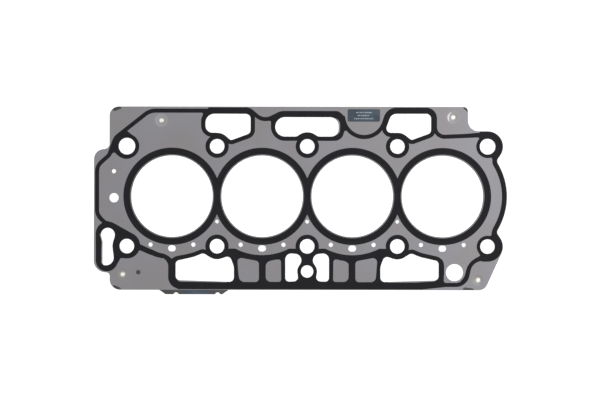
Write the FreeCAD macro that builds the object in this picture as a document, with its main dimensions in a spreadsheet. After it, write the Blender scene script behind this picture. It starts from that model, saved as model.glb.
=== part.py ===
import FreeCAD, Part
import math
import os
import Sketcher

# Cylinder head gasket for a four-cylinder in-line engine, built as a multi-layer steel gasket:
# two beaded spring-steel sheets with a plain spacer sheet between them, a stopper ring round
# each bore, four rivets, and the black elastomer that is screen-printed on the upper sheet.
# Frame: X along the row of cylinders, Y across it, Z up, with the origin in the middle of the
# row and of the bolt pattern, in the plane of the lower sheet's outer face.

doc = FreeCAD.newDocument("cylinder_head_gasket")
sizes = doc.addObject("Spreadsheet::Sheet", "Sizes")

driving_sizes = [
    # row of cylinders and bolt pattern
    ("bore_pitch", 83.0),
    ("bridge_width", 7.0),
    ("bolt_row_spacing", 92.0),
    ("bolt_hole_radius", 6.75),
    ("left_dowel_radius", 7.7),
    ("right_dowel_radius", 7.3),
    # layers, from the block up
    ("sheet_thickness", 0.25),
    ("spacer_thickness", 0.8),
    ("spacer_bore_inset", 0.4),
    ("print_thickness", 0.05),
    # full bead round each bore
    ("bead_depth", 0.2),
    ("bead_offset", 3.5),
    ("bead_half_width", 1.6),
    ("crest_half_width", 0.5),
    # stopper ring inside each bead
    ("stopper_thickness", 0.12),
    ("stopper_inset", 0.2),
    ("stopper_width", 1.4),
    # land kept between an opening and the hole beside it
    ("bolt_land", 5.65),
    ("oil_land", 3.35),
    ("end_margin", 17.9),
    ("upper_left_corner", 8.3),
    ("lower_left_corner", 9.5),
    ("lower_right_corner", 8.5),
    ("upper_right_corner", 3.9),
    # shallow bites in the upper sheet's rim, near its corners
    ("rim_bite_width", 4.0),
    # fluid holes
    ("oil_hole_radius", 5.75),
    ("coolant_hole_radius", 2.05),
    ("coolant_hole_spread", 39.4),
    ("coolant_hole_setback", 6.6),
    ("bridge_hole_radius", 1.75),
    ("bridge_hole_setback", 6.7),
    ("port_length", 7.3),
    ("port_width", 5.7),
    ("port_setback", 10.0),
    ("drain_hole_radius", 8.0),
    ("vent_hole_radius", 4.4),
    ("gauge_hole_radius", 2.1),
    # printed bands and lines
    ("bore_band_overlap", 3.2),
    ("bolt_band", 4.0),
    ("opening_band", 4.0),
    ("line_width", 3.8),
    ("strip_width", 6.4),
    ("joint_radius", 1.6),
    ("print_setback", 1.2),
    ("bore_print_setback", 0.5),
    ("edge_inset", 2.55),
    ("gallery_radius", 54.1),
    # spacer tab with its thickness notches, and the window over the spacer's marking
    ("tab_length", 52.0),
    ("tab_slope_run", 6.8),
    ("tab_depth", 4.1),
    ("notch_radius", 2.3),
    ("notch_spacing", 38.3),
    ("window_length", 29.8),
    ("window_width", 11.4),
    ("window_corner", 1.4),
    # rivets and the dishes they sit in
    ("rivet_radius", 1.5),
    ("rivet_head_radius", 2.2),
    ("rivet_head_height", 0.35),
    ("rivet_tail_height", 0.18),
    ("dish_floor_radius", 3.0),
    ("dish_radius", 5.3),
]

for number, (alias, value) in enumerate(driving_sizes, start=1):
    sizes.set(f"A{number}", alias.replace("_", " "))
    sizes.set(f"B{number}", str(value))
    sizes.setAlias(f"B{number}", alias)
doc.recompute()


def value_of(expression):
    """Number that an expression on the sheet's sizes gives."""
    return float(sizes.evalExpression(str(expression)))


# Places are written from the bolt columns (-2 to 2 along X, one pitch apart, so the bores are at
# the half columns) and the bolt rows (-1, 0 and 1 along Y). An offset is a length in mm at the
# drawn pitch and the drawn row spacing, and stretches with them.
drawn_pitch = 83.0
drawn_row_spacing = 92.0


def column(index, offset=0.0):
    return f"({index} + {offset} / {drawn_pitch}) * Sizes.bore_pitch"


def row(side, offset=0.0):
    return f"({side} / 2 + {offset} / {drawn_row_spacing}) * Sizes.bolt_row_spacing"


bore_radius = "(Sizes.bore_pitch - Sizes.bridge_width) / 2"
bore_band_radius = "(Sizes.bore_pitch / 2 + Sizes.bore_band_overlap)"
bore_columns = [-1.5, -0.5, 0.5, 1.5]
bolt_columns = [-2, -1, 0, 1, 2]
bolt_land_radius = "Sizes.bolt_hole_radius + Sizes.bolt_land"
oil_land_radius = "Sizes.oil_hole_radius + Sizes.oil_land"

# Heights of the stack, from the lower sheet's outer face up. Both beads point inward, so their
# crests hold the sheets one bead depth off the spacer.
spacer_bottom = "Sizes.sheet_thickness + Sizes.bead_depth"
spacer_top = f"{spacer_bottom} + Sizes.spacer_thickness"
upper_bottom = f"{spacer_top} + Sizes.bead_depth"
upper_top = f"{upper_bottom} + Sizes.sheet_thickness"
punch_margin = 3.0


# Outlines are chains of circles joined by their common tangents, taken anticlockwise. Each link is
# (X, Y, radius); a radius above zero turns left, round a corner, and one below zero turns right,
# round a hollow.

def tangent_points(centre, radius, next_centre, next_radius):
    """Where the common tangent leaves one circle and meets the next."""
    step = next_centre - centre
    heading = math.atan2(step.y, step.x) - math.asin((next_radius - radius) / step.Length)
    outward = FreeCAD.Vector(math.sin(heading), -math.cos(heading), 0)
    return centre + outward * radius, next_centre + outward * next_radius


def limited_radii(centres, radii):
    """Radii held to what the distance to the next centre leaves, so that a common tangent exists."""
    slack = 0.999
    result = list(radii)
    for index in range(len(radii)):
        after = (index + 1) % len(radii)
        room = slack * (centres[after] - centres[index]).Length
        difference = abs(result[after] - result[index])
        if difference > room and result[index] * result[after] < 0:
            smaller = min(index, after, key=lambda place: abs(result[place]))
            larger = after if smaller == index else index
            if abs(result[larger]) >= room:
                result[larger] = math.copysign(0.9 * room, result[larger])
            result[smaller] = math.copysign(room - abs(result[larger]), result[smaller])
        elif difference > room:
            larger = max(index, after, key=lambda place: abs(result[place]))
            smaller = after if larger == index else index
            result[larger] = math.copysign(abs(result[smaller]) + room, result[larger])
    return result


def chain_sketch(name, links):
    """Closed sketch of arcs and tangent lines, its centres and radii bound to the sheet."""
    sketch = doc.addObject("Sketcher::SketchObject", name)
    centres = [FreeCAD.Vector(value_of(x), value_of(y), 0) for x, y, radius in links]
    wanted = [value_of(radius) for x, y, radius in links]
    radii = wanted
    for turn in range(4):
        radii = limited_radii(centres, radii)
    count = len(links)
    leaving = [None] * count
    meeting = [None] * count
    for index in range(count):
        after = (index + 1) % count
        leaving[index], meeting[after] = tangent_points(
            centres[index], radii[index], centres[after], radii[after])
    arcs = []
    lines = []
    for index in range(count):
        circle = Part.Circle(centres[index], FreeCAD.Vector(0, 0, 1), abs(radii[index]))
        first = meeting[index] - centres[index]
        last = leaving[index] - centres[index]
        if radii[index] < 0:
            first, last = last, first
        first_angle = math.atan2(first.y, first.x)
        last_angle = math.atan2(last.y, last.x)
        if last_angle < first_angle:
            last_angle += 2 * math.pi
        arcs.append(Part.ArcOfCircle(circle, first_angle, last_angle))
        lines.append(Part.LineSegment(leaving[index], meeting[(index + 1) % count]))
    sketch.addGeometry(arcs + lines)
    constraints = []
    for index in range(count):
        after = (index + 1) % count
        arc_end = 2 if radii[index] > 0 else 1
        arc_start = 1 if radii[after] > 0 else 2
        line = count + index
        constraints.append(Sketcher.Constraint("Tangent", index, arc_end, line, 1))
        constraints.append(Sketcher.Constraint("Tangent", line, 2, after, arc_start))
    bindings = []
    for index, (x, y, radius) in enumerate(links):
        constraints.append(Sketcher.Constraint("DistanceX", -1, 1, index, 3, centres[index].x))
        bindings.append((len(constraints) - 1, x))
        constraints.append(Sketcher.Constraint("DistanceY", -1, 1, index, 3, centres[index].y))
        bindings.append((len(constraints) - 1, y))
        constraints.append(Sketcher.Constraint("Radius", index, abs(radii[index])))
        if radii[index] == wanted[index]:
            sign = "" if radii[index] > 0 else "-"
            bindings.append((len(constraints) - 1, f"{sign}({radius})"))
    sketch.addConstraint(constraints)
    for number, expression in bindings:
        sketch.setExpression(f"Constraints[{number}]", expression)
    return sketch


def polygon_sketch(name, corners):
    """Closed sketch of straight lines in the XZ plane, each corner bound to the sheet."""
    sketch = doc.addObject("Sketcher::SketchObject", name)
    sketch.Placement = FreeCAD.Placement(
        FreeCAD.Vector(0, 0, 0), FreeCAD.Rotation(FreeCAD.Vector(1, 0, 0), 90))
    points = [FreeCAD.Vector(value_of(x), value_of(z), 0) for x, z in corners]
    count = len(points)
    sketch.addGeometry([Part.LineSegment(points[index], points[(index + 1) % count])
                        for index in range(count)])
    constraints = []
    for index in range(count):
        constraints.append(Sketcher.Constraint("Coincident", index, 2, (index + 1) % count, 1))
    for index in range(count):
        constraints.append(Sketcher.Constraint("DistanceX", -1, 1, index, 1, points[index].x))
        constraints.append(Sketcher.Constraint("DistanceY", -1, 1, index, 1, points[index].y))
    sketch.addConstraint(constraints)
    for index, (x, z) in enumerate(corners):
        sketch.setExpression(f"Constraints[{count + 2 * index}]", x)
        sketch.setExpression(f"Constraints[{count + 2 * index + 1}]", z)
    return sketch


def extrusion(name, sketch, height, base="0"):
    """Flat solid of a sketch, from the height base up."""
    solid = doc.addObject("Part::Extrusion", name)
    solid.Base = sketch
    solid.DirMode = "Normal"
    solid.Solid = True
    solid.setExpression("LengthFwd", height)
    solid.setExpression("Placement.Base.z", base)
    return solid


def cylinder(name, x, y, radius, height, base="0"):
    solid = doc.addObject("Part::Cylinder", name)
    solid.setExpression("Radius", radius)
    solid.setExpression("Height", height)
    solid.setExpression("Placement.Base.x", x)
    solid.setExpression("Placement.Base.y", y)
    solid.setExpression("Placement.Base.z", base)
    return solid


def cut(name, base, tool):
    result = doc.addObject("Part::Cut", name)
    result.Base = base
    result.Tool = tool
    result.Refine = True
    return result


def fuse(name, solids):
    result = doc.addObject("Part::MultiFuse", name)
    result.Shapes = solids
    result.Refine = True
    return result


def gather(name, solids):
    """Group of solids that don't meet, used as one tool."""
    result = doc.addObject("Part::Compound", name)
    result.Links = solids
    return result


def mirrored(links):
    """The same outline on the other side of the YZ plane."""
    flipped = [(f"-({x})", y, radius) for x, y, radius in links]
    return list(reversed(flipped))


def widened(links, width):
    """The outline moved outward all round by a width."""
    return [(x, y, f"{radius} + {width}") for x, y, radius in links]


def stroke(start, bends, end, width):
    """Outline of a line of even width with round ends: bends are links along its middle."""
    half = f"({width}) / 2"
    one_side = [(x, y, f"{radius} + {half}") for x, y, radius in bends]
    other_side = [(x, y, f"{half} - ({radius})") for x, y, radius in reversed(bends)]
    return [(start[0], start[1], half)] + one_side + [(end[0], end[1], half)] + other_side


# Sheet outline. The left end steps out round the oil return, the right end follows the last bore
# and its two bolts.

def layer_outline():
    """Outline shared by the two sheets and the spacer."""
    left = "Sizes.upper_left_corner"
    lower_left = "Sizes.lower_left_corner"
    lower_right = "Sizes.lower_right_corner"
    right = "Sizes.upper_right_corner"
    return [
        (column(-2, -19.6), row(-1, -13.4), 10.7),
        (column(-2, -19.0), row(-1, -27.6), -3.4),
        (f"{column(-2, -15.7)} + {lower_left}", f"{row(-1, -40.2)} + {lower_left}", lower_left),
        (f"{column(2, 0.4)} - {lower_right}", f"{row(-1, -40.2)} + {lower_right}", lower_right),
        (column(2), row(-1), 14.2),
        (column(2, 12.9), row(-1, 13.3), -4.0),
        (column(1.5), row(0), "Sizes.bore_pitch / 2 + Sizes.end_margin"),
        (column(2, 12.9), row(1, -13.3), -4.0),
        (column(2), row(1), 14.2),
        (column(2, -8.7), row(1, 23.7), -9.5),
        (f"{column(2, -18.2)} - {right}", f"{row(1, 36.5)} - {right}", right),
        (f"{column(-2, -15.9)} + {left}", f"{row(1, 36.5)} - {left}", left),
        (column(-2, -20.8), row(1, 2.3), -4.9),
        (column(-2, -21.3), row(1, -11.8), 8.9),
    ]


# Openings. Left of the middle they are written out, and the right-hand ones that match are mirrored.

upper_left_opening = [
    (column(-1, -2.5), row(1, 21.7), 8.3),
    (column(-1, -4.3), row(1, 19.0), 6.5),
    (column(-1), row(1), f"-({bolt_land_radius})"),
    (column(-1, 13.1), row(1, 8.4), 2.6),
    (column(-1, 26.4), row(1, 15.2), 4.4),
    (column(-1, 26.2), row(1, 25.3), 4.6),
]

upper_right_opening = [
    (column(1, -1.0), row(1, 23.6), 6.5),
    (column(1, -6.0), row(1, 16.8), 4.2),
    (column(1), row(1), f"-({bolt_land_radius} + 0.2)"),
    (column(1, 13.3), row(1, 8.8), 2.6),
    (column(1, 27.0), row(1, 15.3), 4.0),
    (column(1, 26.5), row(1, 25.7), 4.5),
]

upper_middle_slot = [
    (column(0, -20.6), row(1, 18.0), 8.95),
    (column(0, -11.3), row(1, 14.05), 5.0),
    (column(0), row(1), f"-({bolt_land_radius} + 0.6)"),
    (column(0, 11.3), row(1, 14.05), 5.0),
    (column(0, 21.9), row(1, 16.05), 7.0),
    (column(0, 20.9), row(1, 18.9), 8.0),
]

lower_left_opening = [
    (column(-1, -34.5), row(-1, -16.5), 3.6),
    (column(-1, -34.0), row(-1, -27.3), 4.1),
    (column(-1, 11.3), row(-1, -28.5), 4.3),
    (column(-1, 5.6), row(-1, -20.5), 10.0),
    (column(-1, 9.4), row(-1, -13.8), 4.1),
    (column(-1), row(-1), f"-({bolt_land_radius} - 0.4)"),
    (column(-1, -13.0), row(-1, -10.9), 4.2),
    (column(-1, -33.0), row(-1, 28.5), -40.0),
]

left_return = [
    (column(-2, -17.5), row(-1, 10.3), 6.5),
    (column(-2, -27.5), row(-1, 3.5), -5.0),
    (column(-2, -20.4), row(-1, -15.5), 2.2),
    (column(-2, -19.2), row(-1, -10.5), 7.2),
    (column(-2), row(-1), f"-({bolt_land_radius} + 0.8)"),
]

right_middle_bean = [
    (column(0, 11.3), row(-1, -12.9), 6.0),
    (column(0), row(-1, -23.15), f"-({oil_land_radius})"),
    (column(0, 12.6), row(-1, -28.2), 4.2),
    (column(0, 16.7), row(-1, -29.1), 3.4),
    (column(0, 14.6), row(-1, -12.1), 5.5),
]

openings = {
    "upper_left_opening": upper_left_opening,
    "upper_middle_slot": upper_middle_slot,
    "upper_right_opening": upper_right_opening,
    "left_return": left_return,
    "lower_left_opening": lower_left_opening,
    "lower_right_opening": mirrored(lower_left_opening),
    "left_middle_bean": mirrored(right_middle_bean),
    "right_middle_bean": right_middle_bean,
}


# Holes that pass through the whole stack, cut from every layer by one set of punches.

punch_height = f"{upper_top} + 2 * {punch_margin}"
punch_base = f"-{punch_margin}"


def opening_punches():
    punches = []
    for name, links in openings.items():
        sketch = chain_sketch(f"{name}_outline", links)
        punches.append(extrusion(f"{name}_punch", sketch, punch_height, punch_base))
    return punches


def bolt_radius(index, side):
    """The two end columns' upper holes also take the dowels, and are wider."""
    if side == 1 and index == -2:
        return "Sizes.left_dowel_radius"
    if side == 1 and index == 2:
        return "Sizes.right_dowel_radius"
    return "Sizes.bolt_hole_radius"


def bolt_punches():
    punches = []
    for index in bolt_columns:
        for side in (-1, 1):
            name = f"bolt_punch_{index + 3}_{'upper' if side > 0 else 'lower'}"
            punches.append(cylinder(name, column(index), row(side), bolt_radius(index, side),
                                    punch_height, punch_base))
    return punches


def bore_punches():
    """Bores through the sheets and the prints."""
    return [cylinder(f"bore_punch_{number}", column(index), "0", bore_radius,
                     punch_height, punch_base)
            for number, index in enumerate(bore_columns, start=1)]


def port_punch(name, x):
    """Long hole with round ends, lying along the row of cylinders."""
    reach = "(Sizes.port_length - Sizes.port_width) / 2"
    radius = "Sizes.port_width / 2"
    links = [
        (f"{x} - {reach}", f"-{bore_radius} - Sizes.port_setback", radius),
        (f"{x} + {reach}", f"-{bore_radius} - Sizes.port_setback", radius),
    ]
    return extrusion(name, chain_sketch(f"{name}_outline", links), punch_height, punch_base)


def coolant_punches():
    punches = []
    for number, index in enumerate(bore_columns, start=1):
        punches.append(port_punch(f"port_punch_{number}", column(index)))
        for hand, letter in ((-1, "a"), (1, "b")):
            x = f"{column(index)} + {hand} * Sizes.coolant_hole_spread / 2"
            punches.append(cylinder(f"coolant_punch_{number}{letter}", x,
                                    f"-{bore_radius} - Sizes.coolant_hole_setback",
                                    "Sizes.coolant_hole_radius", punch_height, punch_base))
    bands_meet = f"sqrt({bore_band_radius}^2 - (Sizes.bore_pitch / 2)^2)"
    for index in (-1, 0, 1):
        punches.append(cylinder(f"bridge_punch_{index + 2}", column(index),
                                f"-{bands_meet} - Sizes.bridge_hole_setback",
                                "Sizes.bridge_hole_radius", punch_height, punch_base))
    return punches


def single_punches():
    places = [
        ("oil_punch", column(0), row(-1, -23.15), "Sizes.oil_hole_radius"),
        ("drain_punch", column(2, -30.3), row(-1, -24.0), "Sizes.drain_hole_radius"),
        ("vent_punch", column(-2, -11.9), row(0, -1.5), "Sizes.vent_hole_radius"),
        ("gauge_punch", column(-2, -12.0), row(0, 22.9), "Sizes.gauge_hole_radius"),
    ]
    return [cylinder(name, x, y, radius, punch_height, punch_base) for name, x, y, radius in places]


rivet_places = [
    (column(-2, 31.7), row(1, 23.7)),
    (column(2, -32.1), row(1, 26.8)),
    (column(-2, -3.8), row(-1, -26.0)),
    (column(2, -8.9), row(-1, -31.0)),
]


def rivet_punches():
    return [cylinder(f"rivet_punch_{number}", x, y, "Sizes.rivet_radius", punch_height, punch_base)
            for number, (x, y) in enumerate(rivet_places, start=1)]


def spacer_bore_punches():
    """The spacer's bores are a little tighter, so its rim shows inside the sheets'."""
    return [cylinder(f"spacer_bore_punch_{number}", column(index), "0",
                     f"{bore_radius} - Sizes.spacer_bore_inset", punch_height, punch_base)
            for number, index in enumerate(bore_columns, start=1)]


shared_punches = (opening_punches() + bolt_punches() + coolant_punches() + single_punches()
                  + rivet_punches())
punches = gather("punches", shared_punches + bore_punches())
spacer_punches = gather("spacer_punches", shared_punches + spacer_bore_punches())


# Formed zones: a bead round each bore and a dish round each rivet are turned sections that replace
# a disc of the flat sheet. direction is -1 where the form points down, and 1 where it points up.

foot_inner = f"{bore_radius} + Sizes.bead_offset - Sizes.bead_half_width"
crest_inner = f"{bore_radius} + Sizes.bead_offset - Sizes.crest_half_width"
crest_outer = f"{bore_radius} + Sizes.bead_offset + Sizes.crest_half_width"
foot_outer = f"{bore_radius} + Sizes.bead_offset + Sizes.bead_half_width"


def section_of(steps, thickness):
    """Closed section of even thickness along a line of (radius, height) steps."""
    lower = [(radius, height) for radius, height in steps]
    upper = [(radius, f"{height} + {thickness}") for radius, height in reversed(steps)]
    return lower + upper


def bead_steps(base, direction):
    crest = f"{base} + {direction} * Sizes.bead_depth"
    return [(bore_radius, base), (foot_inner, base), (crest_inner, crest),
            (crest_outer, crest), (foot_outer, base)]


def dish_steps(base, direction):
    floor = f"{base} + {direction} * Sizes.bead_depth"
    return [("Sizes.rivet_radius", floor), ("Sizes.dish_floor_radius", floor),
            ("Sizes.dish_radius", base)]


def turned(name, steps, thickness, x, y):
    """Ring of a section turned about an upright axis at X and Y."""
    ring = doc.addObject("Part::Revolution", name)
    ring.Source = polygon_sketch(f"{name}_section", section_of(steps, thickness))
    ring.Axis = FreeCAD.Vector(0, 0, 1)
    ring.Angle = 360
    ring.Solid = True
    ring.setExpression("Placement.Base.x", x)
    ring.setExpression("Placement.Base.y", y)
    return ring


def bridge_box(name, index):
    """Block that keeps a bore's ring on its own side of the planes between the bores."""
    reach = f"({foot_outer} + 1)"
    left = reach if index == bore_columns[0] else "Sizes.bore_pitch / 2"
    right = reach if index == bore_columns[-1] else "Sizes.bore_pitch / 2"
    box = doc.addObject("Part::Box", name)
    box.setExpression("Length", f"{left} + {right}")
    box.setExpression("Width", f"2 * {reach}")
    box.setExpression("Height", punch_height)
    box.setExpression("Placement.Base.x", f"{column(index)} - {left}")
    box.setExpression("Placement.Base.y", f"-{reach}")
    box.setExpression("Placement.Base.z", punch_base)
    return box


def bead_rings(layer, base, direction, thickness):
    rings = []
    for number, index in enumerate(bore_columns, start=1):
        ring = turned(f"{layer}_bead_{number}", bead_steps(base, direction), thickness,
                      column(index), "0")
        kept = doc.addObject("Part::Common", f"{layer}_bead_{number}_kept")
        kept.Base = ring
        kept.Tool = bridge_box(f"{layer}_bridge_{number}", index)
        rings.append(kept)
    return rings


def form_clearance(layer, with_dishes):
    """Discs taken out of the flat sheet where formed rings go in."""
    discs = [cylinder(f"{layer}_bead_disc_{number}", column(index), "0", foot_outer,
                      punch_height, punch_base)
             for number, index in enumerate(bore_columns, start=1)]
    if with_dishes:
        discs += [cylinder(f"{layer}_dish_disc_{number}", x, y, "Sizes.dish_radius",
                           punch_height, punch_base)
                  for number, (x, y) in enumerate(rivet_places, start=1)]
    return fuse(f"{layer}_form_clearance", discs)


def beaded_sheet(layer, base, direction, extra_cuts):
    """Spring-steel sheet: flat blank, punched, with its beads and rivet dishes formed."""
    blank = extrusion(f"{layer}_blank", layer_sketch, "Sizes.sheet_thickness", base)
    punched = cut(f"{layer}_punched", blank, punches)
    if extra_cuts:
        punched = cut(f"{layer}_windowed", punched, gather(f"{layer}_windows", extra_cuts))
    flat = cut(f"{layer}_flat", punched, form_clearance(layer, True))
    dishes = [turned(f"{layer}_dish_{number}", dish_steps(base, direction),
                     "Sizes.sheet_thickness", x, y)
              for number, (x, y) in enumerate(rivet_places, start=1)]
    rings = bead_rings(layer, base, direction, "Sizes.sheet_thickness")
    return fuse(layer, [flat] + rings + dishes)


# Window in the upper sheet over the spacer's marking, and the witness hole near the left corner.

def marking_window():
    half_length = "(Sizes.window_length / 2 - Sizes.window_corner)"
    half_width = "(Sizes.window_width / 2 - Sizes.window_corner)"
    middle_x = column(1, -31.1)
    middle_y = row(1, 28.5)
    links = [(f"{middle_x} + {side_x} * {half_length}", f"{middle_y} + {side_y} * {half_width}",
              "Sizes.window_corner")
             for side_x, side_y in ((-1, 1), (-1, -1), (1, -1), (1, 1))]
    sketch = chain_sketch("marking_window_outline", links)
    return extrusion("marking_window", sketch, punch_height, punch_base)


def witness_hole():
    return cylinder("witness_hole", column(-2, 10.6), row(-1, -24.0), "Sizes.gauge_hole_radius",
                    punch_height, punch_base)


def rim_bites():
    """Shallow bites through the sheet's rim that bare the spacer near four corners."""
    paths = {
        "upper_left_bite": ((column(-2, -11.4), row(1, 34.3)), (column(-2, -6.9), row(1, 36.0))),
        "lower_left_bite": ((column(-2, -11.6), row(-1, -38.0)), (column(-2, -7.0), row(-1, -40.0))),
        "upper_right_bite": ((column(2, -20.4), row(1, 36.0)), (column(2, -17.7), row(1, 33.8))),
        "lower_right_bite": ((column(2, -20.6), row(-1, -39.6)), (column(2, -14.6), row(-1, -40.4))),
    }
    return [extrusion(name, chain_sketch(f"{name}_outline",
                                         stroke(start, [], end, "Sizes.rim_bite_width")),
                      punch_height, punch_base)
            for name, (start, end) in paths.items()]


layer_sketch = chain_sketch("layer_outline", layer_outline())
lower_layer = beaded_sheet("lower_layer", "0", 1, [])
upper_layer = beaded_sheet("upper_layer", upper_bottom, -1,
                           [marking_window(), witness_hole()] + rim_bites())


# Spacer: flat, with the notched tab that tells its thickness.

def spacer_tab():
    tab_edge = row(-1, -40.2)
    tab_middle = column(-1, -21.2)
    half = "Sizes.tab_length / 2"
    foot = f"({half} + Sizes.tab_slope_run)"
    rounding = 0.5
    tip = f"{tab_edge} - Sizes.tab_depth + {rounding}"
    links = [
        (f"{tab_middle} - {foot}", f"{tab_edge} + 1.2", rounding),
        (f"{tab_middle} - {half}", tip, rounding),
        (f"{tab_middle} + {half}", tip, rounding),
        (f"{tab_middle} + {foot}", f"{tab_edge} + 1.2", rounding),
    ]
    plate = extrusion("tab_plate", chain_sketch("tab_outline", links),
                      "Sizes.spacer_thickness", spacer_bottom)
    notches = [cylinder(f"tab_notch_{number}",
                        f"{tab_middle} + 2.75 + {hand} * Sizes.notch_spacing / 2",
                        f"{tab_edge} - Sizes.tab_depth - 0.5", "Sizes.notch_radius",
                        punch_height, punch_base)
               for number, hand in ((1, -1), (2, 1))]
    return cut("notched_tab", plate, gather("tab_notches", notches))


spacer_blank = extrusion("spacer_blank", layer_sketch, "Sizes.spacer_thickness", spacer_bottom)
spacer_with_tab = fuse("spacer_with_tab", [spacer_blank, spacer_tab()])
spacer_layer = cut("spacer_layer", spacer_with_tab, spacer_punches)


# Printed elastomer: bands round bores, bolts and openings, joined by lines, all on the upper sheet.

print_base = upper_top
print_height = "Sizes.print_thickness"


def printed(name, links):
    return extrusion(name, chain_sketch(f"{name}_outline", links), print_height, print_base)


def bore_bands():
    return [cylinder(f"bore_band_{number}", column(index), "0",
                     bore_band_radius, print_height, print_base)
            for number, index in enumerate(bore_columns, start=1)]


def print_bands():
    bands = []
    for index in bolt_columns:
        for side in (-1, 1):
            name = f"bolt_band_{index + 3}_{'upper' if side > 0 else 'lower'}"
            width = "Sizes.bolt_band" if abs(index) < 2 or side < 0 else "Sizes.bolt_band - 0.3"
            if index == 2:
                width = "Sizes.bolt_band - 0.7"
            bands.append(cylinder(name, column(index), row(side),
                                  f"{bolt_radius(index, side)} + {width}",
                                  print_height, print_base))
    for name, links in openings.items():
        bands.append(printed(f"{name}_band", widened(links, "Sizes.opening_band")))
    slot_end = [
        (column(0, 22.6), row(1, 16.05), 7.0),
        (column(0, 22.1), row(1, 19.4), 7.5)]
    bands.append(printed("slot_end_band", widened(slot_end, "Sizes.opening_band")))
    return bands


def print_lines():
    width = "Sizes.line_width"
    lines = {
        "left_line": stroke(
            (column(-1, -5.0), row(1, 32.7)),
            [(column(-2, 26.5), row(1, 16.9), 15.8),
             (column(-2), row(1), 12.6),
             (column(-2, -23.2), row(1, -3.7), -8.0),
             (column(-2, -16.3), row(0, 22.9), 11.1),
             (column(-2, -16.0), row(0, -12.6), 11.4)],
            (column(-2, -12.0), row(-1, 14.0)), width),
        "upper_line": stroke(
            (column(-1, -7.0), row(1, 33.9)),
            [(column(-1, 26.5), row(1, 25.9), -8.0),
             (column(0, -38.5), row(1, 37.4), 12.4),
             (column(0, -21.5), row(1, 19.7), -11.0),
             (column(0, 22.1), row(1, 19.4), -11.3)],
            (column(0, 34.2), row(1, 18.3)), width),
        "label_line": stroke(
            (column(0, 33.0), row(1, 26.5)),
            [(column(1, -30.7), row(1, 27.9), 19.25),
             (column(1, -1.0), row(1, 23.7), -10.2),
             (column(1, 26.4), row(1, 25.9), -8.0),
             (column(1, 43.3), row(1, 17.9), 8.9)],
            (column(2, -6.0), row(1, 10.4)), width),
        "end_line": stroke(
            (column(2, -4.0), row(-1, -11.7)),
            [(column(2), row(-1), "14.2 - Sizes.edge_inset"),
             (column(2, 12.9), row(-1, 13.3), "-4 - Sizes.edge_inset"),
             (column(1.5), row(0), "Sizes.bore_pitch / 2 + Sizes.end_margin - Sizes.edge_inset"),
             (column(2, 12.9), row(1, -13.3), "-4 - Sizes.edge_inset"),
             (column(2), row(1), "14.2 - Sizes.edge_inset")],
            (column(2, -6.0), row(1, 11.6)), f"{width} + 0.6"),
        "drain_line": stroke(
            (column(1, 40.9), row(-1, -20.0)),
            [(column(1, 44.8), row(-1, -31.4), 3.9),
             (column(2, -29.2), row(-1, -24.4), 10.9),
             (column(2, -4.8), row(-1, -24.3), -12.9)],
            (column(2, -2.3), row(-1, -11.3)), width),
        "branch_line": stroke(
            (column(-2, 8.0), row(-1, 1.6)),
            [(column(-2, 30.9), row(-1, 0.1), 8.0),
             (column(-2, 29.4), row(-1, -18.9), -10.7),
             (column(-2, 49.0), row(-1, -28.3), 9.0)],
            (column(-1, -27.0), row(-1, -37.3)), width),
        "strip_tail": [
            (column(1, 22.0), row(-1, -36.4), "Sizes.strip_width / 2"),
            (column(1, 43.2), row(-1, -35.5), f"{width} / 2")],
        "lower_strip": stroke(
            (column(-1, -35.0), row(-1, -36.4)), [],
            (column(1, 22.0), row(-1, -36.4)), "Sizes.strip_width"),
    }
    return [printed(name, links) for name, links in lines.items()]


def print_fields():
    """Solid fields round the oil return, beside the left dowel and under the middle bores."""
    corner = printed("return_field", [
        (column(-2, -17.5), row(-1, 11.5), 11.1),
        (column(-2, -18.4), row(-1, -13.2), 10.1),
        (column(-2, -4.9), row(-1, -12.4), -1.3),
        (column(-2, 0.3), row(-1, 0.6), 12.0),
    ])
    land = printed("middle_field", [
        (column(-1, 9.0), row(-1, -3.3), 1.2),
        (column(-1, 14.0), row(-1, -35.0), 2.0),
        (column(1, -14.0), row(-1, -35.0), 2.0),
        (column(1, -9.0), row(-1, -3.3), 1.2),
    ])
    dowel = printed("dowel_field", [
        (column(-2, -0.3), row(1, 12.4), 1.6),
        (column(-2, -3.6), row(1, 11.0), 1.4),
        (column(-2, -11.3), row(1, -0.2), 1.4),
        (column(-2, -11.6), row(1, -3.4), 1.6),
        (column(-2), row(1), 11.0),
    ])
    galleries = [cylinder(f"gallery_{number}", column(index), "0", "Sizes.gallery_radius",
                          punch_height, punch_base)
                 for number, index in ((1, -0.5), (2, 0.5))]
    return [corner, dowel, cut("middle_land", land, fuse("galleries", galleries))]


def print_joints():
    """Round fillings in the narrow corners where printed lines meet."""
    places = [
        (column(0, 34.3), row(1, 15.6)),
        (column(1, 39.5), row(-1, -33.7)),
        (column(2, -4.4), row(-1, -9.0)),
        (column(2, 4.9), row(-1, 9.1)),
        (column(2, 5.0), row(1, -10.0)),
        (column(-1, -41.8), row(-1, -13.9)),
    ]
    return [cylinder(f"print_joint_{number}", x, y, "Sizes.joint_radius",
                     print_height, print_base)
            for number, (x, y) in enumerate(places, start=1)]


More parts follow.
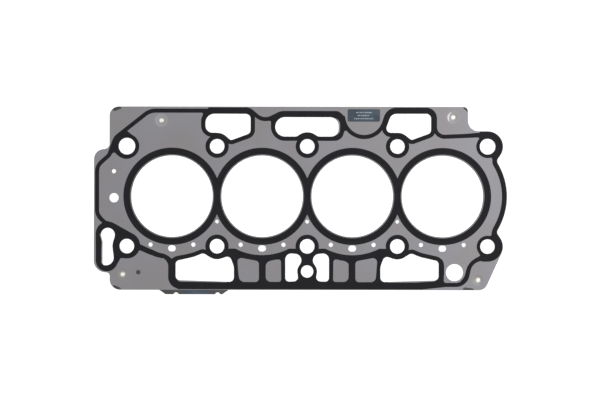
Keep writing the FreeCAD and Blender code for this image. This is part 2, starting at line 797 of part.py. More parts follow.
def bare_islands():
    """Patches of bare steel left inside the printed land."""
    outer = [
        (column(-0.5, -19.0), row(-1, -14.6), 3.8),
        (column(-0.5, -17.2), row(-1, -28.2), 4.6),
        (column(-0.5, -6.3), row(-1, -29.5), 3.4),
        (column(-0.5, -6.3), row(-1, -16.6), 3.4),
    ]
    inner = [
        (column(-0.5, 7.0), row(-1, -16.4), 3.6),
        (column(-0.5, 8.1), row(-1, -28.0), 4.7),
        (column(-0.5, 15.3), row(-1, -30.4), 2.3),
        (column(-0.5, 15.0), row(-1, -14.5), 2.4),
    ]
    islands = {"left_outer_island": outer, "left_inner_island": inner,
               "right_outer_island": mirrored(outer), "right_inner_island": mirrored(inner)}
    return [extrusion(name, chain_sketch(f"{name}_outline", links), punch_height, punch_base)
            for name, links in islands.items()]


def bare_edges():
    """Strips along four openings where the print stops short of the edge and bares the steel."""
    full = "Sizes.print_setback"
    edges = {
        "slot_end_edge": [
            (column(0, 23.6), row(1, 16.9), 7.1),
            (column(0, 23.2), row(1, 18.9), 7.5)],
        "return_edge": [
            (column(-2, -22.6), row(-1, 9.5), 2.5),
            (column(-2, -21.2), row(-1, -14.0), 2.5)],
        "lower_left_edge": [
            (column(-1, -32.9), row(-1, -27.7), f"3.7 + {full}"),
            (column(-1, 9.0), row(-1, -32.7), f"0.4 * {full}")],
        "lower_right_edge": [
            (column(1, -8.0), row(-1, -32.7), f"0.4 * {full}"),
            (column(1, 17.0), row(-1, -13.2), f"18.7 + {full}"),
            (column(1, 34.0), row(-1, -31.4), f"0.6 * {full}")],
    }
    return [extrusion(name, chain_sketch(f"{name}_outline", links), punch_height, punch_base)
            for name, links in edges.items()]


bore_blank = fuse("bore_print_blank", bore_bands())
bore_edges = [cylinder(f"bore_edge_{number}", column(index), "0",
                       f"{bore_radius} + Sizes.bore_print_setback", punch_height, punch_base)
              for number, index in enumerate(bore_columns, start=1)]
bore_punched = cut("bore_print_punched", bore_blank, punches)
bore_flat = cut("bore_print_flat", bore_punched, form_clearance("print", False))
bore_formed = fuse("bore_print_formed", [bore_flat]
                   + bead_rings("print", print_base, -1, "Sizes.print_thickness"))
bore_print = cut("bore_print", bore_formed, gather("bore_edges", bore_edges))
outer_blank = fuse("outer_print_blank",
                   print_bands() + print_lines() + print_fields() + print_joints())
outer_punched = cut("outer_print_punched", outer_blank, punches)
outer_print = cut("outer_print", outer_punched, gather("bare_patches", bare_islands() + bare_edges()))


# Stopper rings lie on the spacer inside the beads and limit how far the beads are pressed flat.

def turned_body(name, corners, x, y):
    """Body turned from a section about an upright axis through its own origin."""
    body = doc.addObject("PartDesign::Body", name)
    sketch = body.newObject("Sketcher::SketchObject", f"{name}_section")
    plane = [feature for feature in body.Origin.OriginFeatures if feature.Role == "XZ_Plane"][0]
    sketch.AttachmentSupport = (plane, [""])
    sketch.MapMode = "FlatFace"
    points = [FreeCAD.Vector(value_of(r), value_of(z), 0) for r, z in corners]
    count = len(points)
    sketch.addGeometry([Part.LineSegment(points[index], points[(index + 1) % count])
                        for index in range(count)])
    constraints = [Sketcher.Constraint("Coincident", index, 2, (index + 1) % count, 1)
                   for index in range(count)]
    for index in range(count):
        constraints.append(Sketcher.Constraint("DistanceX", -1, 1, index, 1, points[index].x))
        constraints.append(Sketcher.Constraint("DistanceY", -1, 1, index, 1, points[index].y))
    sketch.addConstraint(constraints)
    for index, (r, z) in enumerate(corners):
        sketch.setExpression(f"Constraints[{count + 2 * index}]", r)
        sketch.setExpression(f"Constraints[{count + 2 * index + 1}]", z)
    turn = body.newObject("PartDesign::Revolution", f"{name}_turn")
    turn.Profile = sketch
    turn.ReferenceAxis = (sketch, ["V_Axis"])
    turn.Angle = 360
    body.Tip = turn
    body.setExpression("Placement.Base.x", x)
    body.setExpression("Placement.Base.y", y)
    return body


def stopper_ring(number, index):
    inner = f"{bore_radius} + Sizes.stopper_inset"
    outer = f"{inner} + Sizes.stopper_width"
    top = f"{spacer_top} + Sizes.stopper_thickness"
    corners = [(inner, spacer_top), (outer, spacer_top), (outer, top), (inner, top)]
    return turned_body(f"stopper_ring_{number}", corners, column(index), "0")


def rivet(number, x, y):
    """Shank through the stack, a thin formed tail below and a domed head above."""
    tail_top = "Sizes.bead_depth"
    tail_base = "Sizes.bead_depth - Sizes.rivet_tail_height"
    head_base = f"{upper_top} - Sizes.bead_depth"
    corners = [
        ("0", tail_base),
        ("Sizes.rivet_head_radius", tail_base),
        ("Sizes.rivet_head_radius", tail_top),
        ("Sizes.rivet_radius", tail_top),
        ("Sizes.rivet_radius", head_base),
        ("Sizes.rivet_head_radius", head_base),
        ("Sizes.rivet_head_radius", f"{head_base} + 0.3 * Sizes.rivet_head_height"),
        ("0.75 * Sizes.rivet_head_radius", f"{head_base} + 0.8 * Sizes.rivet_head_height"),
        ("0.35 * Sizes.rivet_head_radius", f"{head_base} + Sizes.rivet_head_height"),
        ("0", f"{head_base} + Sizes.rivet_head_height"),
    ]
    return turned_body(f"rivet_{number}", corners, x, y)


stopper_rings = [stopper_ring(number, index)
                 for number, index in enumerate(bore_columns, start=1)]
rivets = gather("rivets", [rivet(number, x, y)
                           for number, (x, y) in enumerate(rivet_places, start=1)])

doc.recompute()

sub_parts = [lower_layer, spacer_layer, upper_layer, bore_print, outer_print, rivets]
sub_parts += stopper_rings
for item in doc.Objects:
    if "Invalid" in item.State or "Error" in item.State:
        raise RuntimeError(f"{item.Label} did not recompute: {item.State}")
for item in sub_parts:
    if item.Shape.isNull() or not item.Shape.isValid():
        raise RuntimeError(f"{item.Label} has no valid shape")

os.makedirs("parts", exist_ok=True)
for item in sub_parts:
    item.Shape.exportStep(f"parts/{item.Label}.step")
    print(item.Label, "solids", len(item.Shape.Solids), "volume", round(item.Shape.Volume, 1))
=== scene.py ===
import math
import bpy
import numpy as np
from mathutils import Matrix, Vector, kdtree
from mathutils.geometry import delaunay_2d_cdt


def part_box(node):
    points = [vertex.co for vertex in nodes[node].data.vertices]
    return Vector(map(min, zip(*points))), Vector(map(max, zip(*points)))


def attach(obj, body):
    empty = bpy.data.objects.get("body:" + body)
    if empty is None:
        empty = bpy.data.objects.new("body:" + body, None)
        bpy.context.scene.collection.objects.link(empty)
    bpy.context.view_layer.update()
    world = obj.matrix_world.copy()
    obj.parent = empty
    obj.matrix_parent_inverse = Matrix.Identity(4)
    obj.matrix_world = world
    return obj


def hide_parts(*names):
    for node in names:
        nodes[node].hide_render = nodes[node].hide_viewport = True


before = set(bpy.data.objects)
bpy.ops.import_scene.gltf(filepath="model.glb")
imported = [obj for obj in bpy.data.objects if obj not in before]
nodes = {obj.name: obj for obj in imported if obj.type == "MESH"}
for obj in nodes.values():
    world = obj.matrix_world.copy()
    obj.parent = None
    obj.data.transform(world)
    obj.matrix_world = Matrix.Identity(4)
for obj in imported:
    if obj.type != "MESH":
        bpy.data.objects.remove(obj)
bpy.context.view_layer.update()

scene = bpy.context.scene
mm = 0.001


# Small helpers

def linear(hexColour):
    # sRGB hex to linear RGBA
    channels = [int(hexColour[i:i + 2], 16) / 255 for i in (1, 3, 5)]
    return [c / 12.92 if c <= 0.04045 else ((c + 0.055) / 1.055) ** 2.4 for c in channels] + [1.0]


def grey(value):
    return [value, value, value, 1.0]


def perMetre(sizeMm):
    # scale of a noise that has one feature every sizeMm
    return 1000.0 / sizeMm


def addNode(tree, kind, inputs=None, **settings):
    # one node, its settings, and its inputs: a value, or an output socket to link from
    node = tree.nodes.new(kind)
    for name, value in settings.items():
        setattr(node, name, value)
    for name, value in (inputs or {}).items():
        if isinstance(value, bpy.types.NodeSocket):
            tree.links.new(value, node.inputs[name])
        else:
            node.inputs[name].default_value = value
    return node


# Each of the next seven adds one node and gives its output socket

def partPlace(tree):
    # place on the part, in metres of the shared frame
    return addNode(tree, "ShaderNodeTexCoord").outputs["Object"]


def combined(tree, operation, first, second):
    return addNode(tree, "ShaderNodeMath", {0: first, 1: second},
                   operation=operation).outputs["Value"]


def distanceTo(tree, place, point):
    return addNode(tree, "ShaderNodeVectorMath", {0: place, 1: point},
                   operation="DISTANCE").outputs["Value"]


def ranged(tree, value, low, high, start=0.0, end=1.0):
    # low at start to high at end, and level beyond them
    return addNode(tree, "ShaderNodeMapRange", {
        "Value": value, "From Min": start, "From Max": end,
        "To Min": low, "To Max": high}).outputs["Result"]


def mixed(tree, factor, under, over, blend="MIX"):
    return addNode(tree, "ShaderNodeMix", {"Factor": factor, 6: under, 7: over},
                   data_type="RGBA", blend_type=blend).outputs[2]


def bumped(tree, height, bump):
    strength, depthMm = bump
    return addNode(tree, "ShaderNodeBump", {
        "Height": height, "Strength": strength, "Distance": depthMm * mm}).outputs["Normal"]


def ramp(tree, factor, stops):
    # colour socket of a ramp through (place, colour) stops
    node = addNode(tree, "ShaderNodeValToRGB", {"Fac": factor})
    while len(node.color_ramp.elements) < len(stops):
        node.color_ramp.elements.new(0.5)
    for element, (place, colour) in zip(node.color_ramp.elements, stops):
        element.position = place
        element.color = colour
    return node.outputs["Color"]


def newMaterial(name):
    material = bpy.data.materials.new(name)
    material.use_nodes = True
    material.node_tree.nodes.clear()
    return material, material.node_tree


def finishMaterial(tree, inputs):
    shader = addNode(tree, "ShaderNodeBsdfPrincipled", inputs)
    addNode(tree, "ShaderNodeOutputMaterial", {"Surface": shader.outputs["BSDF"]})


def dress(nodeName, material):
    node = nodes[nodeName]
    node.data.materials.clear()
    node.data.materials.append(material)


def addPiece(name, vertices, faces, material):
    mesh = bpy.data.meshes.new(name)
    mesh.from_pydata(vertices, [], faces)
    mesh.validate()
    mesh.update()
    piece = bpy.data.objects.new(name, mesh)
    scene.collection.objects.link(piece)
    mesh.materials.append(material)
    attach(piece, "root")
    return piece


# Steel sheets and stopper rings

rivetPlaces = [(-134.3, 69.7), (133.9, 72.8), (-169.8, -72.0), (157.1, -77.0)]   # mm
dishSheen = [1.0, 0.5, 0.0, 0.0]   # how strongly each rivet's dish rim is painted bright; only the upper two are
tintAndSheenLevel = 1.6                      # mm, height that the oil tint and the painted highlights round the rivets spread from

springSteel = {
    "cool": "#8d8c91",          # cold-rolled strip, seen square on
    "warm": "#8c898b",
    "mottle": 46.0,             # mm, slow change of tone over a sheet
    "rollingGrain": 0.35,       # mm across the rolling direction
    "rollingRun": 22.0,         # mm along it
    "grainTone": 0.93,          # tone at the bottom of the grain
    "roughness": (0.37, 0.49),  # from the bottom of the grain to its top
    "bump": (0.12, 0.02),       # strength, and depth in mm
    "stain": "#8e8c82",         # faint oil tint round the rivets
    "stainStrength": 0.6,
    "stainFade": (2.5, 6.5),    # mm from the rivet's middle
    "paintedSheen": "#c5c1cd",       # painted highlight: a bright halo round each head, the light line of a dish's rim, and a crescent
    "sheenReach": 7.5,            # mm from the rivet's middle
    # share of the reach, how strongly the painted highlight shows there, and how much more on a
    # full dish's rim
    "sheenRamp": [(0.30, 0.30, 0.0), (0.42, 0.08, 0.02), (0.56, 0.0, 0.12), (0.62, 0.0, 0.34),
            (0.70, 0.0, 0.15), (0.85, 0.0, 0.06), (1.0, 0.0, 0.0)],
    # mm, place beside the upper right rivet and radius of the two discs that bound the painted
    # highlight crescent
    "crescentDisc": (0.0, 0.0, 4.9),
    "crescentCut": (3.5, -0.805, 7.15),
    "crescentBlur": 0.25,
}


def tintAndSheenRoundRivets(tree, place, colour, values):
    # an oil tint that fades outwards, then a painted highlight: a bright halo round the head and
    # the light line of the dish's rim
    fadeStart, fadeEnd = values["stainFade"]
    for (x, y), depth in zip(rivetPlaces, dishSheen):
        away = distanceTo(tree, place, (x * mm, y * mm, tintAndSheenLevel * mm))
        fade = ranged(tree, away, values["stainStrength"], 0.0, fadeStart * mm, fadeEnd * mm)
        colour = mixed(tree, fade, colour, linear(values["stain"]))
        share = combined(tree, "DIVIDE", away, values["sheenReach"] * mm)
        # painted highlight round each head, stronger on the rim of a dish
        sheenMask = ramp(tree, share, [(at, grey(flat + dished * depth))
                                    for at, flat, dished in values["sheenRamp"]])
        colour = mixed(tree, sheenMask, colour, linear(values["paintedSheen"]))
    return colour


def paintCrescentHighlight(tree, place, colour, values):
    # a painted highlight: a bright crescent on the dish's sloped wall, inside one disc and
    # outside the other
    x, y = rivetPlaces[1]
    sides = []
    for (shiftX, shiftY, radius), blur in ((values["crescentDisc"], values["crescentBlur"]),
                                           (values["crescentCut"], -values["crescentBlur"])):
        away = distanceTo(tree, place, ((x + shiftX) * mm, (y + shiftY) * mm, tintAndSheenLevel * mm))
        sides.append(ranged(tree, away, 0.0, 1.0, (radius + blur) * mm, (radius - blur) * mm))
    crescent = combined(tree, "MULTIPLY", *sides)
    return mixed(tree, crescent, colour, linear(values["paintedSheen"]))


def makeSpringSteel(values):
    # cold-rolled spring steel: a dull even metal, fine grain along the strip, slow change of
    # tone, and painted highlights round the rivets
    material, tree = newMaterial("coldRolledSpringSteel")
    place = partPlace(tree)
    grainSpace = addNode(tree, "ShaderNodeMapping", {
        "Vector": place,
        "Scale": (perMetre(values["rollingRun"]), perMetre(values["rollingGrain"]), 1.0)})
    grain = addNode(tree, "ShaderNodeTexNoise", {
        "Vector": grainSpace.outputs["Vector"], "Scale": 1.0, "Detail": 3.0, "Roughness": 0.6})
    mottle = addNode(tree, "ShaderNodeTexNoise", {
        "Vector": place, "Scale": perMetre(values["mottle"]), "Detail": 2.0, "Roughness": 0.5})
    tone = ramp(tree, mottle.outputs["Fac"],
                [(0.38, linear(values["warm"])), (0.62, linear(values["cool"]))])
    grainTone = ramp(tree, grain.outputs["Fac"],
                     [(0.3, grey(values["grainTone"])), (0.7, grey(1.0))])
    colour = mixed(tree, 1.0, tone, grainTone, blend="MULTIPLY")
    # oil tint, then painted highlights round the rivets
    colour = tintAndSheenRoundRivets(tree, place, colour, values)
    # painted highlight: a bright crescent in the upper right rivet's dish
    colour = paintCrescentHighlight(tree, place, colour, values)
    finishMaterial(tree, {
        "Base Color": colour, "Metallic": 1.0,
        "Roughness": ranged(tree, grain.outputs["Fac"], *values["roughness"]),
        "Normal": bumped(tree, grain.outputs["Fac"], values["bump"])})
    return material


steel = makeSpringSteel(springSteel)
for sheetName in ("upper_layer", "lower_layer"):
    dress(sheetName, steel)
for number in (1, 2, 3, 4):
    dress(f"stopper_ring_{number}", steel)
print("steel sheets dressed")


# Spacer, seen at the tab, in the window and through the bites

spacerPlate = {
    "dark": "#3d3d3e",          # phosphate-darkened plate, neutral under the sheets
    "light": "#4b4b4c",
    "blueDark": "#353e48",      # blued where it is left open, in the window and on the tab
    "blueLight": "#44525d",
    # mm, middle and half-axes of each oval of blued metal
    "bluePatches": [((51.9, 74.5), (18.5, 8.5)), ((-101.9, -88.5), (10.5, 4.5))],
    "blueFade": (1.3, 1.1),     # times the half-axes, where the blue starts and where it is full
    "roughness": (0.47, 0.65),  # from the middle of a crystal to its edge
    "bump": (0.15, 0.02),       # strength, and depth in mm
    "crystal": 0.9,             # mm, phosphate bloom, drawn coarse enough to show
    "cloud": 14.0,              # mm
}


def ovalMask(tree, place, middle, halfAxes, fade):
    # 1 inside an oval seen from above, 0 outside it
    offset = addNode(tree, "ShaderNodeVectorMath", {
        0: place, 1: (middle[0] * mm, middle[1] * mm, 0)}, operation="SUBTRACT")
    squashed = addNode(tree, "ShaderNodeVectorMath", {
        0: offset.outputs["Vector"],
        1: (1 / (halfAxes[0] * mm), 1 / (halfAxes[1] * mm), 0)}, operation="MULTIPLY")
    away = addNode(tree, "ShaderNodeVectorMath", {0: squashed.outputs["Vector"]},
                   operation="LENGTH")
    return ranged(tree, away.outputs["Value"], 0.0, 1.0, *fade)


def makeSpacerPlate(values):
    # phosphated mild steel: dark blue-grey, barely shiny, cloudy with a fine crystal bloom
    material, tree = newMaterial("phosphatedSpacerSteel")
    place = partPlace(tree)
    cloud = addNode(tree, "ShaderNodeTexNoise", {
        "Vector": place, "Scale": perMetre(values["cloud"]), "Detail": 4.0})
    crystal = addNode(tree, "ShaderNodeTexVoronoi", {
        "Vector": place, "Scale": perMetre(values["crystal"])})
    plain = ramp(tree, cloud.outputs["Fac"],
                 [(0.35, linear(values["dark"])), (0.65, linear(values["light"]))])
    blue = ramp(tree, cloud.outputs["Fac"],
                [(0.35, linear(values["blueDark"])), (0.65, linear(values["blueLight"]))])
    masks = [ovalMask(tree, place, middle, halfAxes, values["blueFade"])
             for middle, halfAxes in values["bluePatches"]]
    finishMaterial(tree, {
        "Base Color": mixed(tree, combined(tree, "MAXIMUM", *masks), plain, blue),
        "Metallic": 0.35,
        "Roughness": ranged(tree, crystal.outputs["Distance"], *values["roughness"]),
        "Normal": bumped(tree, crystal.outputs["Distance"], values["bump"])})
    return material


dress("spacer_layer", makeSpacerPlate(spacerPlate))
print("spacer dressed")


# Printed seal

sealPrint = {
    "deep": "#0e0e13",          # screen-printed fluoro rubber
    "bloom": "#16161c",         # where the print is thinner or dusty
    "specularLevel": 0.18,      # filled rubber throws back less than a clear film
    "roughness": (0.44, 0.60),  # from the deep print to the bloom
    "bump": (0.2, 0.03),        # strength, and depth in mm
    "screenMesh": 0.45,         # mm, weave left by the printing screen
    "blotch": 9.0,              # mm
    "edgeRound": 0.16,          # mm, how far in from its edge the print is rounded
    "edgeThickness": 0.3,       # share of the print's thickness that is left at its edge
    "ridgeHeight": 0.11,        # mm, bead pressed in the sheet under the print
    "ridgePlace": 1.95,         # mm in from the print's edge
    "ridgeSpread": 0.7,         # mm
    "gridStep": 0.62,           # mm between points of the relief
    "rowStep": 0.866,           # times gridStep, between its staggered rows
    "rowStart": 0.013,          # mm, keeps the rows off the outline's own points
    "gridGap": 0.7,             # times gridStep, least gap from the grid to the print's edge
    "roundGap": 0.9,            # times edgeRound, the same for the points that round the edge
}


# Places where the print spread past its solid: outlines in mm, anticlockwise
printSpread = {
    "slotEnd": [
        (25.0, 51.0), (27.8, 51.5), (29.8, 52.5), (31.3, 53.7), (32.4, 55.1), (33.2, 57.0),
        (33.8, 58.8), (34.1, 60.8), (36.3, 66.2), (35.1, 69.9), (34.2, 72.6), (33.5, 73.9),
        (32.4, 75.4), (30.5, 77.0), (28.7, 78.1), (26.9, 78.6), (24.1, 78.6), (24.1, 74.5),
        (27.5, 73.6), (28.6, 71.6), (29.2, 69.4), (29.9, 68.0), (30.1, 66.2), (30.1, 62.5),
        (29.8, 59.7), (29.5, 58.5), (28.3, 56.3), (25.0, 53.5)],
    "returnBand": [
        (-192.7, -35.0), (-192.0, -61.5), (-189.6, -61.3), (-189.3, -57.6), (-189.5, -53.9),
        (-189.4, -50.2), (-189.4, -46.5), (-189.1, -42.8), (-189.7, -39.2), (-190.3, -37.3),
        (-191.0, -35.5)],
    "branchBelow": [
        (-155.7, -47.6), (-155.1, -49.8), (-152.6, -50.4), (-149.3, -51.9), (-146.1, -53.3),
        (-142.4, -54.6), (-138.7, -56.0), (-136.0, -56.6), (-132.8, -57.4), (-133.2, -55.9),
        (-135.7, -55.0), (-142.4, -52.0), (-148.0, -49.7), (-153.5, -47.4)],
    "branchAbove": [
        (-135.1, -54.4), (-130.5, -56.0), (-126.8, -58.2), (-123.5, -60.7), (-118.5, -57.3),
        (-113.9, -55.8), (-113.9, -53.9), (-117.5, -54.5), (-120.8, -55.3), (-122.7, -56.2),
        (-124.6, -57.5), (-125.9, -56.4), (-127.7, -55.0), (-129.5, -54.0), (-131.4, -53.1),
        (-133.2, -52.6), (-135.1, -52.3)],
    "dowelRing": [
        (-183.1, 34.3), (-180.8, 37.0), (-179.3, 39.3), (-177.9, 40.1), (-176.6, 39.6),
        (-175.0, 37.8), (-172.7, 36.1), (-170.0, 34.8), (-168.1, 34.3), (-166.2, 34.2),
        (-163.5, 34.6), (-160.8, 35.8), (-158.5, 37.6), (-156.6, 39.9), (-155.5, 42.4),
        (-154.9, 45.1), (-154.9, 47.4), (-155.5, 50.1), (-156.9, 52.6), (-158.9, 54.8),
        (-161.6, 56.4), (-164.1, 57.2), (-163.6, 55.4), (-160.1, 53.5), (-157.8, 50.8),
        (-156.6, 47.8), (-156.6, 44.7), (-157.4, 41.6), (-159.3, 38.9), (-162.4, 37.0),
        (-166.2, 36.2), (-170.0, 37.0), (-173.1, 38.9), (-175.0, 41.6), (-177.7, 43.1),
        (-179.7, 42.7), (-180.8, 40.2), (-182.3, 37.8), (-183.7, 35.8)],
    "slotLine": [
        (-37.5, 69.5), (-35.0, 69.4), (-33.8, 69.2), (-33.5, 68.7), (-33.5, 65.6),
        (-33.2, 64.2), (-33.0, 63.0), (-32.0, 63.0), (-30.8, 66.5), (-30.8, 71.1),
        (-32.7, 71.6), (-35.0, 70.9), (-37.5, 70.2)],
    "upperLeftOpening": [
        (-98.7, 77.1), (-97.2, 76.9), (-96.2, 76.3), (-96.0, 75.5), (-96.7, 73.8),
        (-97.4, 72.0), (-97.8, 69.9), (-97.8, 68.1), (-96.7, 68.1), (-95.3, 72.4),
        (-93.0, 76.6), (-93.0, 78.2), (-97.6, 78.2), (-98.7, 77.9)],
    "leftPanel": [
        (-38.3, -65.6), (-38.1, -63.8), (-37.7, -62.4), (-36.5, -60.7), (-34.2, -59.5),
        (-30.5, -58.6), (-27.3, -58.0), (-27.3, -56.9), (-36.1, -56.9), (-39.3, -58.7),
        (-39.3, -65.6)],
    "lowerRightRing": [
        (147.1, -67.7), (149.1, -67.7), (151.1, -63.8), (153.8, -60.7), (157.7, -58.3),
        (160.7, -57.1), (161.9, -55.2), (160.0, -52.5), (158.4, -50.6), (157.4, -51.1),
        (158.2, -52.5), (159.2, -54.0), (157.7, -55.3), (154.6, -56.8), (151.5, -59.5),
        (148.8, -62.9), (147.1, -66.7)],
    "rightBand": [
        (174.2, -25.3), (173.1, -25.3), (172.1, -27.4), (170.6, -30.0), (169.7, -32.6),
        (169.6, -34.9), (168.7, -36.0), (165.6, -36.5), (165.6, -37.4), (170.2, -37.5),
        (172.1, -35.2), (172.1, -32.2), (172.7, -29.9), (173.9, -27.4)],
    "lowerRightOpening": [
        (115.4, -55.3), (118.4, -56.7), (121.8, -58.7), (123.4, -61.4), (124.1, -64.5),
        (124.9, -72.2), (126.1, -72.1), (126.1, -63.7), (125.5, -60.5), (124.1, -58.0),
        (121.8, -56.3), (118.4, -54.9), (115.4, -54.2)],
    "rightPanel": [
        (29.3, -58.7), (33.9, -59.4), (36.2, -60.4), (37.8, -61.8), (38.6, -64.0),
        (38.7, -65.9), (39.7, -65.9), (39.7, -60.2), (36.2, -57.9), (29.3, -57.7)],
    "upperRightLine": [
        (136.5, 55.9), (145.7, 56.2), (154.0, 56.7), (161.3, 57.6), (158.8, 58.9),
        (154.2, 58.5), (149.8, 58.1), (142.9, 57.6), (136.0, 56.8)],
    "upperRightRing": [
        (154.7, 54.6), (156.6, 54.6), (157.8, 54.0), (158.0, 53.1), (157.3, 51.8),
        (158.5, 51.3), (160.4, 52.5), (162.3, 54.4), (160.4, 55.9), (154.7, 55.5)],
    "returnLine": [
        (-190.4, -18.1), (-189.0, -21.6), (-185.9, -25.0), (-180.5, -25.4), (-179.4, -24.5),
        (-181.3, -23.6), (-184.8, -22.7), (-186.7, -21.7), (-188.2, -20.3), (-189.6, -17.5)],
    "lowerLeftOpening": [
        (-65.5, -58.8), (-65.5, -67.1), (-65.0, -73.5), (-63.7, -78.9), (-60.4, -80.1),
        (-58.1, -79.9), (-58.3, -78.9), (-60.9, -77.8), (-62.4, -75.9), (-63.1, -72.6),
        (-63.6, -67.1), (-63.9, -62.5), (-64.1, -58.8)],
    "lowerRightLine": [
        (141.4, -79.3), (144.1, -77.6), (146.7, -74.1), (147.8, -71.3), (148.6, -67.7),
        (150.4, -64.0), (152.4, -60.3), (150.8, -60.3), (149.1, -62.0), (147.4, -64.4),
        (146.3, -67.7), (145.6, -70.4), (144.8, -73.2), (143.4, -75.5), (141.2, -77.8)],
}


def makeSealPrint(values):
    # screen-printed elastomer: black, satin, with the screen's fine weave and faint pale blotches
    material, tree = newMaterial("screenPrintedElastomer")
    place = partPlace(tree)
    blotch = addNode(tree, "ShaderNodeTexNoise", {
        "Vector": place, "Scale": perMetre(values["blotch"]), "Detail": 5.0, "Roughness": 0.6})
    weave = addNode(tree, "ShaderNodeTexNoise", {
        "Vector": place, "Scale": perMetre(values["screenMesh"]), "Detail": 1.0})
    finishMaterial(tree, {
        "Base Color": ramp(tree, blotch.outputs["Fac"], [(0.4, linear(values["deep"])),
                                                         (0.75, linear(values["bloom"]))]),
        "Roughness": ranged(tree, blotch.outputs["Fac"], *values["roughness"]),
        "Specular IOR Level": values["specularLevel"],
        "Normal": bumped(tree, weave.outputs["Fac"], values["bump"])})
    return material


# Outlines: closed lists of (x, y) in mm, anticlockwise round the print and clockwise round holes

def outerSides(faces):
    # sides of the faces that no other face shares, in the order that they run round their face
    sides = {}
    for face in faces:
        for a, b in zip(face, face[1:] + face[:1]):
            if (b, a) in sides:
                del sides[(b, a)]
            else:
                sides[(a, b)] = True
    return list(sides)


def topLoops(mesh, height, tolerance=0.004):
    # outlines of the flat top of a mesh, where vertices that share a place count as one
    mesh.calc_loop_triangles()
    places = [tuple(part / mm for part in vertex.co) for vertex in mesh.vertices]
    firstAt = {}
    ids = [firstAt.setdefault(tuple(round(part, 4) for part in place), index)
           for index, place in enumerate(places)]
    triangles = [tuple(ids[v] for v in triangle.vertices) for triangle in mesh.loop_triangles]
    after = dict(outerSides([corners for corners in triangles
                             if all(abs(places[c][2] - height) < tolerance for c in corners)]))
    loops = []
    while after:
        start, here = after.popitem()
        loop = [start]
        while here != start:
            loop.append(here)
            here = after.pop(here)
        loops.append([places[c][:2] for c in loop])
    return loops


def divided(loop, step):
    # the same outline with points at most step apart
    result = []
    for a, b in zip(loop, loop[1:] + loop[:1]):
        parts = max(1, math.ceil(math.dist(a, b) / step))
        result += [(a[0] + (b[0] - a[0]) * k / parts, a[1] + (b[1] - a[1]) * k / parts)
                   for k in range(parts)]
    return result


def inset(loop, depth):
    # the outline's points, each moved into the print by the depth
    ring = np.array(loop)
    along = np.roll(ring, -1, axis=0) - np.roll(ring, 1, axis=0)
    along /= np.linalg.norm(along, axis=1)[:, None]
    inward = np.stack([-along[:, 1], along[:, 0]], axis=1)
    return [tuple(point) for point in ring + inward * depth]


def edgeEnds(loops):
    # x0, y0, x1 and y1 of all edges of the outlines
    return np.array([a + b for loop in loops for a, b in zip(loop, loop[1:] + loop[:1])]).T


def crossings(ends, y):
    # x of each place where an edge crosses the level y
    x0, y0, x1, y1 = ends
    hit = (y0 > y) != (y1 > y)
    return x0[hit] + (y - y0[hit]) * (x1 - x0)[hit] / (y1 - y0)[hit]


def gridInside(loops, values):
    # staggered grid of points inside the outlines
    ends = edgeEnds(loops)
    step = values["gridStep"]
    points = []
    rows = np.arange(ends[1::2].min() + values["rowStart"], ends[1::2].max(),
                     step * values["rowStep"])
    for row, y in enumerate(rows):
        shift = 0.5 * (row % 2)
        xs = np.sort(crossings(ends, y))
        for left, right in zip(xs[::2], xs[1::2]):
            first = math.ceil(left / step - shift) + shift
            points += [(x, y) for x in np.arange(first * step, right, step)]
    return points


def insideOutline(points, loops):
    # True for each point that an odd number of edges lie to the right of
    ends = edgeEnds(loops)
    return [np.count_nonzero(crossings(ends, y) > x) % 2 == 1 for x, y in points]


def insideAny(points, outlines):
    # True for each point inside at least one of the outlines, each a list of closed loops
    hits = [insideOutline(points, outline) for outline in outlines]
    return [any(column) for column in zip(*hits)]


def gapFinder(points):
    # a function that gives the distance from a place to the nearest of the points
    tree = kdtree.KDTree(len(points))
    for index, (x, y) in enumerate(points):
        tree.insert((x, y, 0), index)
    tree.balance()
    return lambda x, y: tree.find((x, y, 0))[2]


def reliefHeight(gap, base, top, values):
    # rounded up from the edge, and a bead a little way in
    rise = min(1.0, gap / values["edgeRound"])
    thickness = values["edgeThickness"] + (1 - values["edgeThickness"]) * rise
    ridge = math.exp(-((gap - values["ridgePlace"]) / values["ridgeSpread"]) ** 2)
    return base + (top - base) * thickness + values["ridgeHeight"] * ridge * rise


def reliefTriangles(solid, spread, values, insideOnly=1, weld=1e-6, onEdge=1e-4):
    # places and triangles of the print's top, and each place's gap to the print's edge
    loops = solid + spread
    rim = [point for loop in loops for point in loop]
    # rim points inside another outline aren't on the print's edge
    covered = [hit for loop in solid for hit in insideAny(loop, [[each] for each in spread])]
    for loop in spread:
        others = [[each] for each in spread if each is not loop]
        covered += insideAny(loop, [solid] + others)
    gapAt = gapFinder([point for point, hit in zip(rim, covered) if not hit])
    edges = []
    for loop in loops:
        # each point has one edge, so the edges so far are as many as the points
        start = len(edges)
        edges += [(start + k, start + (k + 1) % len(loop)) for k in range(len(loop))]
    grid = gridInside(solid, values)
    for loop in spread:
        added = gridInside([loop], values)
        grid += [point for point, hit in zip(added, insideOutline(added, solid)) if not hit]
    rounding = [point for loop in loops for point in inset(loop, values["edgeRound"])]
    free = [point for point in grid if gapAt(*point) > values["gridGap"] * values["gridStep"]]
    free += [point for point, hit in zip(rounding, covered)
             if not hit and gapAt(*point) > values["roundGap"] * values["edgeRound"]]
    result = delaunay_2d_cdt([Vector(point) for point in rim + free], edges, [], insideOnly, weld)
    places, triangles, givenPoints = result[0], result[2], result[3]
    # a place that stands for no given point is a crossing of two outlines, so it is on the edge
    gaps = [gapAt(*place) if given else 0.0 for place, given in zip(places, givenPoints)]
    # triangles with all corners on the rim may span a hole, so their middles are tested
    sure = [tuple(face) for face in triangles if max(gaps[v] for v in face) >= onEdge]
    doubtful = [tuple(face) for face in triangles if max(gaps[v] for v in face) < onEdge]
    middles = [(sum(places[v].x for v in face) / 3, sum(places[v].y for v in face) / 3)
               for face in doubtful]
    kept = insideAny(middles, [solid] + [[loop] for loop in spread])
    return places, sure + [face for face, hit in zip(doubtful, kept) if hit], gaps


